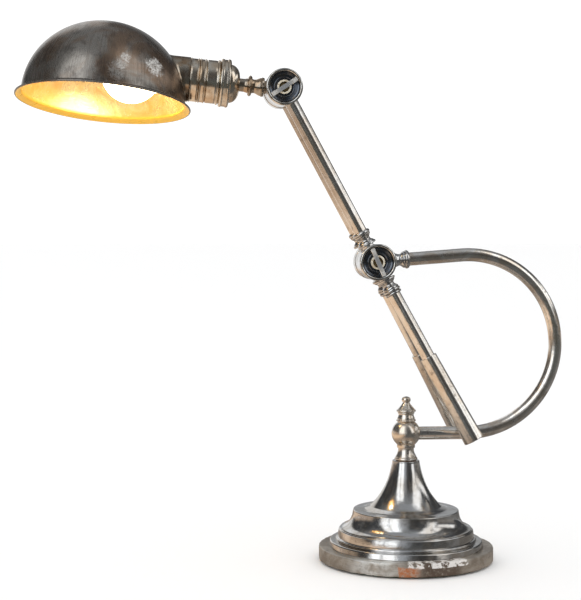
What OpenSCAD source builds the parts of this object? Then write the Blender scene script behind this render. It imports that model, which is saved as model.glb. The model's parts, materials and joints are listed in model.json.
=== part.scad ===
// Architect desk lamp: a weighted stepped base, a swivelling bow tube, a double arm with
// counterweights, and a domed shade on a screw lampholder. Millimetres, +Z up.
// The origin is on the table at the centre of the base. The bow and the arms lie in the XZ plane.

/* [Base] */
// Radius of the bottom disc
disc_r = 82.5; // [80:0.5:88]
// Thickness of the bottom disc
disc_t = 12.7; // [12:0.1:14]
// Radius of the lower drum of the stepped skirt
drum_r = 64; // [62:0.5:66]
// Height of the top of the stepped skirt
skirt_top = 48.5; // [47.5:0.5:49.5]
// Height of the top of the trumpet cone
cone_top = 95; // [94:0.5:98]

/* [Bow] */
// Outer diameter of every tube
tube_d = 12.5; // [12:0.1:12.6]
// Wall of every tube
tube_wall = 1.2; // [1:0.1:1.6]
// Height of the neck ball's centre and of the bow's lower run
ball_z = 120.8; // [120:0.2:122]
// Radius of the neck ball
ball_r = 13.6; // [13:0.1:14]
// Distance from the stem to the centre of the bow's bend
bow_x = 59; // [57:0.5:61]
// Radius of the bow's bend, to the middle of the tube
bow_r = 84.5; // [83:0.5:86]

/* [Arm] */
// Elbow axis, sideways from the stem
elbow_x = -31; // [-34:0.5:-29]
// Distance from the elbow axis to the head axis
arm_len = 182.5; // [175:0.5:190]
// Angle of the upper arm, from +X towards +Z
arm_angle = 118.4; // [116:0.2:121]
// Outward splay of each lower arm
splay = 5.5; // [5:0.1:6]
// Distance from the elbow axis to the end of the counterweights
weight_end = 189; // [186:0.5:191]
// Length of each counterweight
weight_len = 88.5; // [80:0.5:92]

/* [Head] */
// Direction of the lampholder, from +X towards +Z
head_angle = 174.6; // [172:0.2:177]
// Radius of the lampholder's flange
flange_r = 22.3; // [21.5:0.1:23]
// Outer radius of the shade's dome
dome_r = 75; // [74:0.5:76]
// Outer radius of the shade's lip
lip_r = 80.6; // [80:0.2:82]
// Turn of the shade about the lampholder, towards -Y
shade_turn = 8; // [0:1:12]
// Radius of the bulb
bulb_r = 27.5; // [26:0.5:28]

/* [Knobs] */
// Radius of each clamp knob
knob_r = 17; // [16.5:0.1:17.2]
// Turn of the elbow knob's bar
elbow_bar_turn = 66; // [0:1:180]
// Turn of the head knob's bar
head_bar_turn = -33; // [-90:1:90]

/* [Hidden] */
$fn = 96;

// Clearances: a shaft in its bore, a fixed piece in its seat, and a moving face
run = 0.05;
seat = 0.05;
gap = 0.1;

// Tube and flex
tube_r = tube_d / 2;
bore_r = tube_r - tube_wall;
flex_r = 2.5;

// Base
felt_t = 1.5;
disc_z1 = felt_t + disc_t;
recess_r = 20;
recess_h = 6;
skirt_t = 1.4;
stud_r = 5;
stud_bore = 3.6;
stud_end = ball_z - 2.8;
gland_z = disc_z1 - 6.35;
gland_bore = 3.6;
gland_r = 4.9;
gland_y0 = 68;
cavity_r = ball_r - 2.4;
cavity_z0 = ball_z - 7.8;
neck_z0 = cone_top + 0.3;

// Bow: the top run rises from the elbow at the angle of a 237 : 3116 : 3125 right triangle
run_angle = asin(237 / 3125);
run_z = ball_z - 0.3;
bow_z = run_z + bow_r;
run_len = (bow_x - bow_r * sin(run_angle) - elbow_x) / cos(run_angle);
elbow_z = bow_z + bow_r * cos(run_angle) - run_len * sin(run_angle);

// Knuckles and necks: distances along Y and along each neck
centre_w = 8.2;
washer_w = 8.5;
arm_w0 = 8.6;
arm_w1 = 21.6;
arm_y = (arm_w0 + arm_w1) / 2;
knuckle_r = 16.8;
centre_r = 16.4;
bolt_r = 4;
neck_in = 12;
flare_s = 18;
waist_s = 23.5;
ring_s = 27.6;
ring_end = 32.2;
ring_r = 8.4;
waist_r = 5.5;
splay_s = 20;
head_tube_end = 13.6;

// Knobs
knob_y0 = arm_w1 + 0.2;
knob_y1 = knob_y0 + 5.7;
bar_w = 4;
bar_t = 1.8;
bar_len = 2 * knob_r - 6.4;

// Arm: the head axis
head_x = elbow_x + arm_len * cos(arm_angle);
head_z = elbow_z + arm_len * sin(arm_angle);

// Head: distances along the lampholder from the head axis
holder_s = 40;
flange_s0 = 49;
flange_s1 = 58.6;
ring_a = 71.4;
ring_b = 77.9;
body_end = 86.6;
body_r = 20.2;
shell_r = 16.5;
shell_end = 94;
neck_s = body_end + 0.1;
neck_r = 20.6;
neck_bore = 19.5;
dome_h = dome_r - 4;
dome_s = 163.2;
dome_drop = -26.7;
dome_t = 1;
lip_h = 2.4;
bulb_s = 140;
bulb_cap_r = 12.9;
bulb_cap_end = 92;
steps = 12;

// Smooth step from a to b as t goes from 0 to 1
function ease(a, b, t) = a + (b - a) * (1 - cos(180 * t)) / 2;
// A smooth stretch of outline from [r0, z0] to [r1, z1]
function blend(r0, z0, r1, z1, n = steps) = [for (i = [0:n]) [ease(r0, r1, i / n), z0 + (z1 - z0) * i / n]];
// An arc of outline about [r, z], radius q, from angle a to angle b
function arc(r, z, q, a, b, n = steps) =
    [for (i = [0:n]) [r + q * cos(a + (b - a) * i / n), z + q * sin(a + (b - a) * i / n)]];
// The trumpet cone's outer radius at height z
function cone_r(z) = 8.4 + 28.8 * exp(-(z - skirt_top) / 24);

module at_elbow() translate([elbow_x, 0, elbow_z]) children();
module at_head() translate([head_x, 0, head_z]) children();
// Local +Z points along angle a in the XZ plane, from +X towards +Z
module along(a) rotate([0, 90 - a, 0]) children();
// Local +Z points along -Y
module to_front() rotate([90, 0, 0]) children();
// Local +Z points along the lampholder, and local +X points up
module on_holder() at_head() along(head_angle) children();
// The holder's frame, turned with the shade
module on_shade() on_holder() rotate([0, 0, shade_turn]) children();
// The lower arm's splayed frame on the side where y is side * arm_y
module on_lower(side) at_elbow() along(arm_angle + 180) translate([0, side * arm_y, splay_s])
    rotate([-side * splay, 0, 0]) translate([0, 0, -splay_s]) children();
module on_upper(side) at_elbow() along(arm_angle) translate([0, side * arm_y, 0]) children();

module tube(r, bore, z0, z1) {
    difference() {
        translate([0, 0, z0]) cylinder(r = r, h = z1 - z0);
        translate([0, 0, z0 - 1]) cylinder(r = bore, h = z1 - z0 + 2);
    }
}
module turned(outline) rotate_extrude() polygon(outline);

// A rounded ring round the local Z axis
module bead(r, bore, z0, z1) {
    q = (z1 - z0) / 2;
    turned(concat([[bore, z0]], arc(r - q, z0 + q, q, -90, 90), [[bore, z1]]));
}

// ---- base

module felt_pad() { color("darkolivegreen") tube(disc_r - 4.5, 12, 0, felt_t); }

module base_disc() {
    c = 0.8;
    color("dimgray") difference() {
        turned([[0, felt_t], [disc_r - c, felt_t], [disc_r, felt_t + c], [disc_r, disc_z1 - c],
            [disc_r - c, disc_z1], [0, disc_z1]]);
        translate([0, 0, felt_t - 1]) cylinder(r = recess_r, h = recess_h + 1);
        cylinder(r = stud_r + seat, h = disc_z1 + 1);
        translate([0, 0, gland_z]) rotate([-90, 0, 0]) translate([0, 0, recess_r - 4])
            cylinder(r = gland_r + seat, h = disc_r);
    }
}

module base_ballast() {
    color("#3a3a3c") turned([[12, disc_z1 + seat], [drum_r - 4, disc_z1 + seat], [drum_r - 4, disc_z1 + 13.5],
        [drum_r - 11, disc_z1 + 17], [12, disc_z1 + 17]]);
}

module base_skirt() {
    z0 = disc_z1;
    t = skirt_t;
    ledge = z0 + 5.6;
    drum0 = ledge + 3;
    drum1 = drum0 + 6.6;
    cove_r = 14;
    cove_x = drum_r;
    cove_z = skirt_top - 1;
    cove_h = cove_z - drum1 - 1.8;
    outer = concat([[73, z0]], arc(71.6, ledge - 1.4, 1.4, 0, 90, 6), [[drum_r + 3.2, ledge]],
        arc(drum_r + 1.2, ledge + 1.3, 1.3, -60, 90, 8),
        [for (i = [0:8]) [drum_r - 0.9 + 0.9 * sin(22.5 * i), drum0 + (drum1 - drum0) * i / 8]],
        arc(drum_r - 2, drum1, 1.2, 10, 90, 5),
        [for (i = [0:12]) let (a = 261 - 6.75 * i) [cove_x + cove_r * cos(a), cove_z + cove_h * sin(a)]],
        arc(cove_x - cove_r - 1, cove_z, 1, 0, 90, 5));
    inner = [[stud_r + 0.2, skirt_top], [stud_r + 0.2, skirt_top - t],
        [cove_x - cove_r - t - 1, skirt_top - t]];
    inner_cove = [for (i = [0:8]) let (a = 187 + 8.75 * i)
        [cove_x + (cove_r + t) * cos(a), cove_z + (cove_h + t) * sin(a)]];
    lower = [[drum_r - 2.6, drum1 - t - 1], [drum_r - 2.6, ledge - t], [71.4, ledge - t], [71.4, z0]];
    color("silver") turned(concat(outer, inner, inner_cove, lower));
}

module base_cone() {
    n = 18;
    z1 = cone_top;
    outer = [for (i = [0:n]) let (z = skirt_top + (z1 - 0.6 - skirt_top) * i / n) [cone_r(z), z]];
    inner = [for (i = [n - 1:-1:0]) let (z = skirt_top + (z1 - 8 - skirt_top) * i / (n - 1))
        [cone_r(z) - 2.2, z]];
    color("silver") turned(concat(outer, [[cone_r(z1) - 0.5, z1], [stud_r + seat, z1],
        [stud_r + seat, z1 - 8]], inner));
}

module swivel_stud() { color("goldenrod") tube(stud_r, stud_bore, felt_t + 0.6, stud_end); }

module tie_nut() {
    color("gray") difference() {
        translate([0, 0, felt_t + 0.5]) cylinder(r = 9.2, h = recess_h - 1.8, $fn = 6);
        cylinder(r = stud_r + seat, h = disc_z1);
    }
}

module tie_washer() { color("silver") tube(14, stud_r + seat, felt_t + recess_h - 1.2, felt_t + recess_h); }
module swivel_washer() { color("saddlebrown") tube(9.5, stud_r + 0.3, cone_top, cone_top + 0.2); }
module swivel_nut() { color("gray") tube(7.4, stud_r + seat, cavity_z0 + 0.4, cavity_z0 + 3.9); }

module cord_gland() {
    y1 = disc_r + 2;
    color("#1c1c1c") translate([0, 0, gland_z]) rotate([-90, 0, 0]) turned([[gland_bore, gland_y0],
        [gland_r, gland_y0], [gland_r, disc_r], [6.1, disc_r], [6.1, y1 - 1], [5.1, y1], [gland_bore, y1]]);
}

// Flex from the gland to the stud, and up the stud
module base_flex() {
    z = gland_z;
    color("#262626") {
        translate([0, 0, z - 1.4]) rotate([-90, 0, 0]) translate([0, 0, 16.5]) cylinder(r = 1.9, h = 48);
        translate([0, 0, 8]) cylinder(r = flex_r, h = stud_end - 12);
    }
}

// ---- bow

module neck_ball() {
    z0 = neck_z0;
    zb = ball_z - sqrt(ball_r * ball_r - 8 * 8);
    outline = concat([[0, z0], [9.6, z0]], arc(9.4, z0 + 1.5, 1.5, -90, 90, 8), [[9.9, z0 + 3.3]],
        [for (i = [0:8]) [7.4 + 2.4 * pow(1 - i / 8, 2), z0 + 3.6 + 7.4 * i / 8]],
        [[7.4, z0 + 11.6], [8.5, z0 + 12], [8.5, zb], [0, zb]]);
    color("silver") difference() {
        union() {
            turned(outline);
            translate([0, 0, ball_z]) sphere(r = ball_r);
        }
        translate([0, 0, z0 - 1]) cylinder(r = stud_r + run, h = cavity_z0 - z0 + 2);
        intersection() {
            translate([0, 0, ball_z]) sphere(r = cavity_r);
            translate([-20, -20, cavity_z0]) cube([40, 40, 40]);
        }
        translate([0, 0, ball_z]) cylinder(r = 4 + seat, h = 20);
        translate([0, 0, run_z]) rotate([0, 90, 0]) cylinder(r = tube_r + seat, h = 20);
    }
}

module finial() {
    z0 = ball_z + 11.3;
    outline = concat([[0, ball_z + 7], [4, ball_z + 7], [4, z0]], arc(8.4, z0 + 0.9, 0.9, -90, 90, 6),
        blend(8.4, z0 + 2, 7.1, z0 + 6.9, 6), [[7.9, z0 + 7.3], [7.9, z0 + 8.5], [7.6, z0 + 8.8]],
        arc(8.3, z0 + 10, 0.95, -60, 80, 6), [[3.6, z0 + 17.2], [3.3, z0 + 17.6], [3.3, z0 + 18.3]],
        [[4, z0 + 18.8], [4.2, z0 + 20.2], [4, z0 + 21.6], [3.2, z0 + 22.7], [1.8, z0 + 23.3]],
        [[0, z0 + 23.5]]);
    color("silver") difference() {
        turned(outline);
        difference() {
            translate([0, 0, ball_z]) sphere(r = ball_r + 0.1);
            cylinder(r = 4, h = 200);
        }
    }
}

// A bent rod along the bow: r is its radius, x0 its start, s1 its end measured from the elbow
module bow_rod(r, x0, s1) {
    q = bow_r + 20;
    translate([bow_x, 0, bow_z]) to_front() {
        difference() {
            rotate_extrude() translate([bow_r, 0]) circle(r = r);
            intersection() {
                translate([-q, -q, -q]) cube([q, 2 * q, 2 * q]);
                rotate([0, 0, run_angle]) translate([-q, -q, -q]) cube([q, 2 * q, 2 * q]);
            }
        }
        translate([0, -bow_r, 0]) rotate([0, -90, 0]) cylinder(r = r, h = bow_x - x0);
        rotate([0, 0, run_angle]) translate([0, bow_r, 0]) rotate([0, -90, 0])
            cylinder(r = r, h = run_len - s1);
    }
}

module bow_tube() {
    color("silver") difference() {
        bow_rod(tube_r, 9.6, ring_s + 1);
        bow_rod(bore_r, 9, ring_s);
    }
}

module bow_collar() {
    color("silver") at_elbow() along(run_angle) bead(8.7, tube_r + seat, ring_s + 0.9, ring_end + 1);
}

// Turned neck of a knuckle, with a hole for the flex: flare is its radius beside the knuckle
module neck(flare) {
    outline = concat([[3, neck_in], [waist_r, neck_in], [waist_r, flare_s - 0.2],
        [flare - 0.6, flare_s], [flare, flare_s + 0.6], [flare, flare_s + 1.4]],
        blend(flare - 0.4, flare_s + 1.8, waist_r, waist_s, 10),
        blend(waist_r, waist_s + 0.4, ring_r - 0.8, ring_s, 6),
        [[ring_r - 0.8, ring_s + 0.8], [3, ring_s + 0.8]]);
    turned(outline);
}

module elbow_centre_knuckle() {
    color("silver") difference() {
        union() {
            at_elbow() to_front() translate([0, 0, -centre_w]) cylinder(r = centre_r, h = 2 * centre_w);
            at_elbow() along(run_angle) neck(7.4);
        }
        at_elbow() to_front() translate([0, 0, -20]) cylinder(r = bolt_r + run, h = 40);
        at_elbow() along(run_angle) translate([0, 0, 6.5]) cylinder(r = 3, h = 30);
    }
}

// Two fibre washers on the faces of a centre knuckle
module washer_pair() {
    for (side = [0, 180]) rotate([side, 0, 0]) to_front() tube(15, bolt_r + 0.3, centre_w, washer_w);
}

module elbow_washers() { color("saddlebrown") at_elbow() washer_pair(); }

// The flex in the bow starts clear of the swivel and ends short of the elbow
module bow_flex() { color("#262626") bow_rod(flex_r, 12, 12); }

// ---- arm

module knuckle_disc(side) {
    to_front() translate([0, 0, side < 0 ? arm_w0 : -arm_w1]) cylinder(r = knuckle_r, h = arm_w1 - arm_w0);
}

module knuckle_bolt_hole() {
    to_front() translate([0, 0, -40]) cylinder(r = bolt_r + seat, h = 80);
}

// Recess for the bolt's head in the outer face of a rear knuckle
module bolt_recess() {
    to_front() translate([0, 0, -arm_w1 - 1]) cylinder(r = 8.4, h = 6);
}

module elbow_knuckle(side) {
    difference() {
        union() {
            at_elbow() knuckle_disc(side);
            on_upper(side) neck(9);
            on_lower(side) neck(9);
        }
        at_elbow() knuckle_bolt_hole();
        if (side > 0) at_elbow() bolt_recess();
        on_upper(side) translate([0, 0, 9.5]) cylinder(r = 3, h = 30);
    }
}

module elbow_front_knuckle() { color("silver") elbow_knuckle(-1); }
module elbow_rear_knuckle() { color("silver") elbow_knuckle(1); }

module upper_tube(side) {
    on_upper(side) tube(tube_r, bore_r, ring_s + 0.9, arm_len - head_tube_end);
}

module upper_tube_front() { color("silver") upper_tube(-1); }
module upper_tube_rear() { color("silver") upper_tube(1); }

module lower_tube(side) {
    on_lower(side) tube(tube_r, bore_r, ring_s + 0.9, weight_end - 10);
}

module lower_tube_front() { color("silver") lower_tube(-1); }
module lower_tube_rear() { color("silver") lower_tube(1); }

// A single ring above the knuckle and a double ring below it
module collars(side) {
    on_upper(side) bead(ring_r, tube_r + seat, ring_s + 0.9, ring_end);
    on_lower(side) {
        bead(ring_r, tube_r + seat, ring_s + 0.9, ring_end - 0.6);
        bead(ring_r - 0.3, tube_r + seat, ring_end - 0.6, ring_end + 2);
    }
}

module collars_front() { color("silver") collars(-1); }
module collars_rear() { color("silver") collars(1); }

module counterweight(side) {
    z0 = weight_end - weight_len;
    bottom_r = 9.5;
    top_r = 7.9;
    on_lower(side) turned([[tube_r + seat, z0], [top_r - 0.4, z0], [top_r, z0 + 0.4],
        [bottom_r, weight_end - 0.6], [bottom_r - 0.6, weight_end], [0, weight_end],
        [0, weight_end - 9.9], [tube_r + seat, weight_end - 9.9]]);
}

module counterweight_front() { color("silver") counterweight(-1); }
module counterweight_rear() { color("silver") counterweight(1); }

// Hexagon-headed bolt through a joint, head to the rear
module joint_bolt() {
    to_front() {
        translate([0, 0, -arm_w1 + 0.6]) cylinder(r = bolt_r, h = arm_w1 + knob_y0 + 0.2);
        translate([0, 0, -arm_w1 + 0.2]) cylinder(r = 7.8, h = 4.6, $fn = 6);
    }
}

module rear_cap() {
    y = arm_w1;
    rotate([-90, 0, 0]) turned(concat([[0, y], [15.2, y]], arc(14.2, y + 1, 1, 0, 60, 4),
        [[12, y + 2], [0, y + 2.6]]));
}

module elbow_bolt() { color("goldenrod") at_elbow() joint_bolt(); }
module elbow_rear_cap() { color("silver") at_elbow() rear_cap(); }

module head_knuckle(side) {
    difference() {
        at_head() knuckle_disc(side);
        at_head() knuckle_bolt_hole();
        if (side > 0) at_head() bolt_recess();
        on_upper(side) translate([0, 0, arm_len - 30])
            cylinder(r = tube_r + seat, h = 30 - head_tube_end + 0.05);
        on_upper(side) translate([0, 0, arm_len - 20]) cylinder(r = 3, h = 20 - 9.5);
    }
}

module head_front_knuckle() { color("silver") head_knuckle(-1); }
module head_rear_knuckle() { color("silver") head_knuckle(1); }
module head_bolt() { color("goldenrod") at_head() joint_bolt(); }
module head_rear_cap() { color("silver") at_head() rear_cap(); }

// The flex runs up the rear arm from knuckle to knuckle
module arm_flex() {
    color("#262626") on_upper(1) translate([0, 0, 11]) cylinder(r = flex_r, h = arm_len - 22);
}

// ---- knobs

// Dished knob with a tubular boss: local +Z points outwards
module knob_cup() {
    z0 = knob_y0;
    z1 = knob_y1;
    rim = knob_r - 2.4;
    outline = concat([[bolt_r + run, z0], [knob_r - 0.8, z0], [knob_r, z0 + 0.8], [knob_r, z1 - 1.2]],
        arc(knob_r - 1.2, z1 - 1.2, 1.2, 0, 180, 8), [[rim, z1 - 1.6]],
        [for (i = [0:8]) [rim - 1 - 6.6 * i / 8, z0 + 1.4 + 1.6 * pow(1 - i / 8, 2)]],
        [[6.6, z0 + 3.2], [6, z0 + 3.7], [5.2, z0 + 3.7], [4.8, z0 + 3.3], [bolt_r + run, z0 + 3.1]]);
    turned(outline);
}

module knob_bar(turn) {
    rotate([0, 0, turn]) intersection() {
        translate([-bar_len / 2, -bar_w / 2, knob_y1 - bar_t - 0.1]) cube([bar_len, bar_w, bar_t]);
        cylinder(r = knob_r - 2.45, h = 60);
    }
}

module elbow_knob_cup() { color("dimgray") at_elbow() to_front() knob_cup(); }
module elbow_knob_bar() { color("silver") at_elbow() to_front() knob_bar(-elbow_bar_turn); }
module head_knob_cup() { color("dimgray") at_head() to_front() knob_cup(); }
module head_knob_bar() { color("silver") at_head() to_front() knob_bar(-head_bar_turn); }

// ---- head

module head_spigot() {
    outline = concat([[3, neck_in], [6, neck_in], [6, 16.8], [8.6, 17.2], [9, 18], [9, 19.6]],
        blend(8.6, 20.4, 6.4, 26.4, 8), [[6.8, 28.2], [9, 28.7]], arc(8.6, 30.3, 1, -60, 60, 4),
        [[8.8, 31.9], [7, 32.4]], blend(6.6, 33, 6.1, 36, 4), [[6.1, holder_s + 2], [3, holder_s + 2]]);
    color("#6e6a60") difference() {
        union() {
            at_head() to_front() translate([0, 0, -centre_w]) cylinder(r = centre_r, h = 2 * centre_w);
            on_holder() turned(outline);
        }
        at_head() to_front() translate([0, 0, -20]) cylinder(r = bolt_r + run, h = 40);
        on_holder() translate([0, 0, 6.5]) cylinder(r = 3, h = 40);
    }
}

module head_washers() { color("saddlebrown") at_head() washer_pair(); }

module holder_cap() {
    s0 = holder_s;
    s1 = flange_s0;
    h = s1 - s0;
    outer = [for (i = [0:10]) let (a = 90 * i / 10) [6.6 + 11.1 * sin(a), s1 - h * cos(a)]];
    inner = [for (i = [10:-1:0]) let (a = 90 * i / 10) [6.15 + 10.1 * sin(a), s1 - (h - 1.5) * cos(a)]];
    skirt = [[18.6, s1], [18.6, s1 + 4], [17.4, s1 + 4]];
    color("#8a7a60") on_holder() turned(concat([[6.15, s0]], outer, skirt, inner));
}

module holder_flange() {
    r = flange_r;
    outline = concat([[18.65, flange_s0]], arc(r - 1.6, flange_s0 + 1.6, 1.6, -90, 0, 6),
        [[r, flange_s0 + 3], [r - 0.5, flange_s0 + 3.4], [r - 0.5, flange_s1 - 3]],
        arc(r - 1.6, flange_s1 - 1.6, 1.6, 0, 90, 6), [[18.65, flange_s1]]);
    color("#8a7a60") on_holder() turned(outline);
}

module holder_body() {
    r = body_r;
    outline = concat([[shell_r - 0.9, flange_s0 + 4.2], [18.4, flange_s0 + 4.2]],
        [[18.4, flange_s1], [r - 0.8, flange_s1]], arc(r - 0.4, flange_s1 + 1.6, 1, -80, 80, 6),
        [[r - 0.4, flange_s1 + 3.4], [r - 0.4, ring_a - 0.6], [r - 1, ring_a], [shell_r, ring_a]],
        [[shell_r, shell_end], [shell_r - 0.9, shell_end]]);
    color("#8a7a60") on_holder() turned(outline);
}

// A threaded shade ring with a rounded edge at each end
module shade_ring(s0, s1) {
    r = body_r + 0.1;
    turned(concat([[shell_r + seat, s0]], arc(r - 0.7, s0 + 0.9, 0.7, -90, 0, 4), [[r - 0.3, s0 + 1.4],
        [r - 0.3, s1 - 1.4]], arc(r - 0.7, s1 - 0.9, 0.7, 0, 90, 4), [[shell_r + seat, s1]]));
}

module shade_ring_rear() { color("#8a7a60") on_holder() shade_ring(ring_a + 0.05, ring_b); }
module shade_ring_front() { color("#8a7a60") on_holder() shade_ring(ring_b + 0.05, body_end); }
module retaining_ring() {
    color("#8a7a60") on_holder() tube(18.9, shell_r + seat, neck_s + 1.4, neck_s + 4.8);
}

module ceramic_insert() {
    s0 = flange_s0 + 4.4;
    color("white") on_holder() difference() {
        translate([0, 0, s0]) cylinder(r = 15.3, h = 28);
        translate([0, 0, s0 + 11]) cylinder(r = 14.1, h = 28);
        for (s = [-1, 1]) translate([9.5 * s, 0, s0 - 1]) cylinder(r = 1.6, h = 6);
        translate([0, 0, s0 - 1]) cylinder(r = 2.7, h = 6);
    }
}

module screw_shell() { color("gold") on_holder() tube(14, 13.3, flange_s0 + 15.6, shell_end - 4); }

module centre_contact() {
    s0 = flange_s0 + 15.4;
    color("gold") on_holder() turned([[0, s0], [5.5, s0], [5.5, s0 + 0.5], [2, s0 + 1.9], [0, s0 + 2]]);
}

module terminal_screws() {
    s0 = flange_s0 + 2.2;
    color("goldenrod") on_holder() for (s = [-1, 1]) translate([9.5 * s, 0, s0]) {
        cylinder(r = 2.6, h = 2.2);
        cylinder(r = 1.5, h = 6);
    }
}

// Hollow screw cap of the bulb
module bulb_cap() {
    s0 = flange_s0 + 17.5;
    t = 0.6;
    color("silver") on_holder() turned([[0, s0], [4.6, s0], [5.2, s0 + 1.6], [10.5, s0 + 4.5],
        [bulb_cap_r, s0 + 6], [bulb_cap_r, bulb_cap_end], [bulb_cap_r - t, bulb_cap_end],
        [bulb_cap_r - t, s0 + 6.4], [10, s0 + 5], [4, s0 + 2.4], [0, s0 + 2.4]]);
}

// Hollow opal globe: a flared neck that runs into a sphere
module bulb_globe() {
    t = 0.9;
    join = 35;
    r0 = 14.2;
    rj = bulb_r * sin(join);
    sj = bulb_s - bulb_r * cos(join);
    s0 = bulb_cap_end + 1.5;
    n = 10;
    flared = [for (i = [0:n]) [r0 + (rj - r0) * pow(i / n, 1.7), s0 + (sj - s0) * i / n]];
    inner = [for (i = [n:-1:0]) [flared[i].x - t, flared[i].y + 0.2]];
    color("white") on_holder() turned(concat([[r0 - 1.4, bulb_cap_end]], flared,
        arc(0, bulb_s, bulb_r, -87 + join, 90, 24), arc(0, bulb_s, bulb_r - t, 90, -87 + join, 24),
        inner, [[r0 - 1.4 - t, bulb_cap_end]]));
}

// The flex in the spigot, ending at the terminals
module head_flex() {
    color("#262626") on_holder() translate([0, 0, 8]) cylinder(r = flex_r, h = flange_s0 - 8);
}

// ---- shade: its mouth faces local -X, and its pole is local +X

module at_dome() on_shade() translate([dome_drop, 0, dome_s]) rotate([0, 90, 0]) children();

// Quarter of an oval, from the rim to the pole, inset from the dome's outside
function oval(inset) = [for (i = [0:36]) [(dome_r - inset) * cos(2.5 * i), (dome_h - inset) * sin(2.5 * i)]];

module shade_dome() {
    inner = oval(dome_t);
    color("#5d564c") difference() {
        at_dome() turned(concat(oval(0), [for (i = [36:-1:0]) inner[i]]));
        on_shade() cylinder(r = neck_bore, h = dome_s - 30);
    }
}

// Out-turned lip with a rolled edge
module shade_lip() {
    q = 0.9;
    w = dome_t;
    flare = [for (i = [0:6]) let (t = i / 6) [dome_r + (lip_r - q - dome_r) * pow(t, 1.5), -lip_h * t]];
    inner = [for (i = [6:-1:0]) [flare[i].x - w - 0.4 * i / 6, flare[i].y - w * i / 6]];
    outline = concat(flare, arc(lip_r - q, -lip_h - q, q, 90, -150, 12), inner);
    color("#5d564c") at_dome() turned(outline);
}

module shade_neck() {
    color("#5d564c") difference() {
        on_shade() turned([[16.9, neck_s], [neck_r, neck_s], [neck_r, neck_s + 30], [neck_bore, neck_s + 30],
            [neck_bore, neck_s + 1.2], [16.9, neck_s + 1.2]]);
        at_dome() turned(concat([[0, 0]], oval(0)));
    }
}

felt_pad();
base_disc();
base_ballast();
base_skirt();
base_cone();
swivel_stud();
tie_nut();
tie_washer();
swivel_washer();
swivel_nut();
cord_gland();
base_flex();
neck_ball();
finial();
bow_tube();
bow_collar();
elbow_centre_knuckle();
elbow_washers();
bow_flex();
elbow_front_knuckle();
elbow_rear_knuckle();
upper_tube_front();
upper_tube_rear();
lower_tube_front();
lower_tube_rear();
collars_front();
collars_rear();
counterweight_front();
counterweight_rear();
elbow_bolt();
elbow_rear_cap();
head_front_knuckle();
head_rear_knuckle();
head_bolt();
head_rear_cap();
arm_flex();
elbow_knob_cup();
elbow_knob_bar();
head_knob_cup();
head_knob_bar();
head_spigot();
head_washers();
holder_cap();
holder_flange();
holder_body();
shade_ring_rear();
shade_ring_front();
retaining_ring();
ceramic_insert();
screw_shell();
centre_contact();
terminal_screws();
bulb_cap();
bulb_globe();
head_flex();
shade_dome();
shade_lip();
shade_neck();
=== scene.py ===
"""Architect desk lamp: the looks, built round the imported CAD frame.

Metres, +Z up, the bow and the arms in the XZ plane, and the viewer on the -Y side. Turned pieces are
lathed from outlines in millimetres, (radius, height) or (radius, height, corner radius).
"""

import json
import math

import bmesh
import bpy
from mathutils import Matrix, Vector, noise

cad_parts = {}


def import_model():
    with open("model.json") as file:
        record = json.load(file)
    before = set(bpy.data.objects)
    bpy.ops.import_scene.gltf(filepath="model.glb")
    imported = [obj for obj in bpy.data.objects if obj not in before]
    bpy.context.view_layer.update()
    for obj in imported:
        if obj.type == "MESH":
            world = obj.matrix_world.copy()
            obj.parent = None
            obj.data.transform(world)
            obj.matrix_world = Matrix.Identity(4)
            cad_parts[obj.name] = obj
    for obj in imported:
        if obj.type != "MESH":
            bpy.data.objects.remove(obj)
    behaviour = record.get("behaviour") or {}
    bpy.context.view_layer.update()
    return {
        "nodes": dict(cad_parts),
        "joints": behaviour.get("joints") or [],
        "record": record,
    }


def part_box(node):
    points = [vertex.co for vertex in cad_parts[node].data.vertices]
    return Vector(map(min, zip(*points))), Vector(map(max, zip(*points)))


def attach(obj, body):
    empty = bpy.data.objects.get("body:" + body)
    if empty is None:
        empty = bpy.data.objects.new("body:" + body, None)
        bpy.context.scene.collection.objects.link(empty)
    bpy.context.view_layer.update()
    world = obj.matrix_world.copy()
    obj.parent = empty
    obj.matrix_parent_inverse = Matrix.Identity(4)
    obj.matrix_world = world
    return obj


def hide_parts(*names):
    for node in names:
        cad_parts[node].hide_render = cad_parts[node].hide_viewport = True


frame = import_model()
MM = 0.001
JOINTS = {joint["name"]: joint for joint in frame["joints"]}


# ---- places, from the frame


def joint_point(name):
    return Vector(JOINTS[name]["pos_m"])


ELBOW = joint_point("elbow_pivot")
HEAD = joint_point("head_pivot")
Y_AXIS = Vector((0, 1, 0))
FRONT = Vector((0, -1, 0))
UP_ARM = (HEAD - ELBOW).normalized()
HOLDER = Vector(JOINTS["shade_twist"]["axis"]).normalized()
ARM_LEN = (HEAD - ELBOW).length / MM


def height(node, top=True):
    """The highest or lowest Z of a CAD node, in millimetres."""
    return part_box(node)[1 if top else 0].z / MM


def place(origin, axis, side):
    """A local frame: +Z along axis, and +X as near to side as it can be."""
    z = axis.normalized()
    y = z.cross(side).normalized()
    x = y.cross(z)
    matrix = Matrix((x, y, z)).transposed().to_4x4()
    matrix.translation = origin
    return matrix


AT_STEM = Matrix.Identity(4)
AT_ELBOW_FRONT = place(ELBOW, FRONT, Vector((1, 0, 0)))
AT_HEAD_FRONT = place(HEAD, FRONT, Vector((1, 0, 0)))
AT_HOLDER = place(HEAD, HOLDER, Vector((0, 0, 1)))


# ---- mesh helpers


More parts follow.
